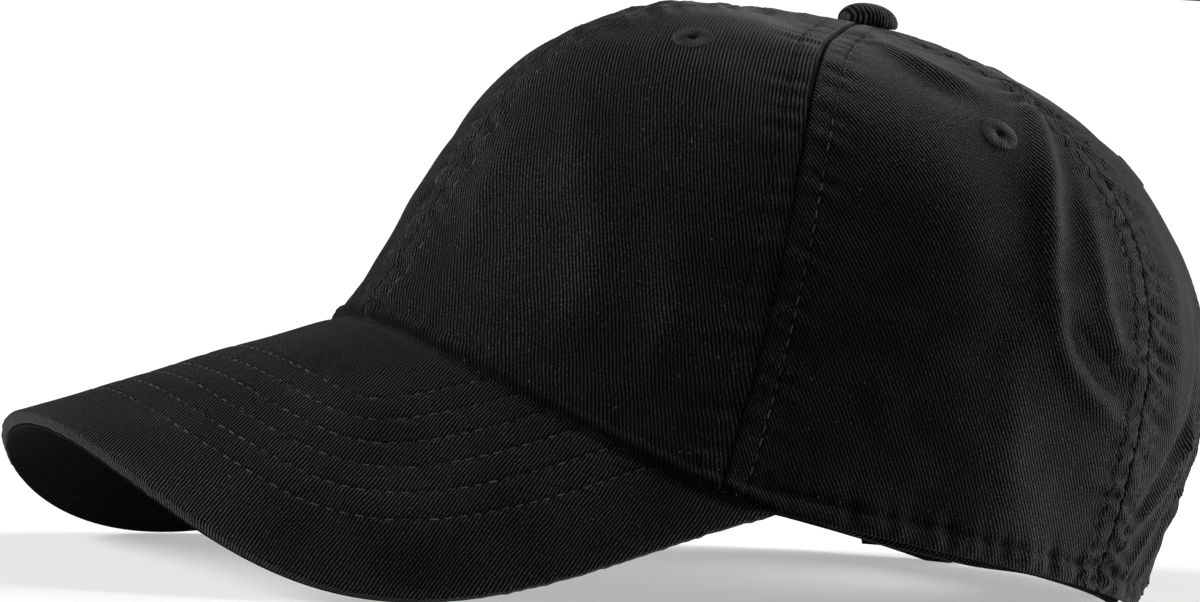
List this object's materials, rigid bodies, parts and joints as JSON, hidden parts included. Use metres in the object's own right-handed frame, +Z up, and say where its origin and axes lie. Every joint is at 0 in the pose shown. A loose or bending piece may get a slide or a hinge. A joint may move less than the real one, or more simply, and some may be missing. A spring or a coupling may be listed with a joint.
{
  "type": "baseball cap",
  "caption": "Low soft baseball cap with a six-panel cotton crown, covered top button, curved stitched visor, inner sweatband and a rear strap that adjusts through a hinged buckle",
  "frame": {"origin": "On the ground under the middle of the cap's bounding box; the cap stands on its visor's side edges and the rear hem.", "axes": "The cap faces -Y, +X is the wearer's left and +Z is up."},
  "size_m": [0.164, 0.2898, 0.1385],
  "materials": {
    "cotton_twill": "washed cotton twill",
    "lining_cotton": "plain cotton tape",
    "embroidery_thread": "satin-stitched thread",
    "visor_board": "moulded polyethylene sheet",
    "buckle_brass": "aged brass",
    "steel": "stamped steel",
    "label": "woven ribbon, blank"
  },
  "bodies": {
    "cap": {"buckle_frame": "buckle_brass", "buckle_hinge_pin": "steel", "button_back_plate": "steel", "button_cover": "cotton_twill", "button_shell": "steel", "care_label": "label", "crown_panel_back_left": "cotton_twill", "crown_panel_back_right": "cotton_twill", "crown_panel_front_left": "cotton_twill", "crown_panel_front_right": "cotton_twill", "crown_panel_side_left": "cotton_twill", "crown_panel_side_right": "cotton_twill", "eyelet_back_left": "embroidery_thread", "eyelet_back_right": "embroidery_thread", "eyelet_front_left": "embroidery_thread", "eyelet_front_right": "embroidery_thread", "eyelet_side_left": "embroidery_thread", "eyelet_side_right": "embroidery_thread", "rear_opening_binding": "lining_cotton", "seam_tape_front_centre": "lining_cotton", "seam_tape_front_left": "lining_cotton", "seam_tape_front_right": "lining_cotton", "seam_tape_rear_centre": "lining_cotton", "seam_tape_rear_left": "lining_cotton", "seam_tape_rear_right": "lining_cotton", "strap_tab": "cotton_twill", "sweatband": "lining_cotton", "visor_board": "visor_board", "visor_top_cover": "cotton_twill", "visor_under_cover": "cotton_twill"},
    "strap": {"strap": "cotton_twill"},
    "buckle_clasp": {"buckle_clasp": "buckle_brass"}
  },
  "joints": [
    {"name": "strap_adjust", "type": "hinge", "parent": "cap", "child": "strap", "pos_m": [0, 0.0607, 0.0125], "axis": [0, 0, 1], "range_deg": [-19, 9]},
    {"name": "buckle_flip", "type": "hinge", "parent": "cap", "child": "buckle_clasp", "pos_m": [0.02232, 0.13063, 0.0125], "axis": [0, 0, 1], "range_deg": [0, 100]}
  ]
}
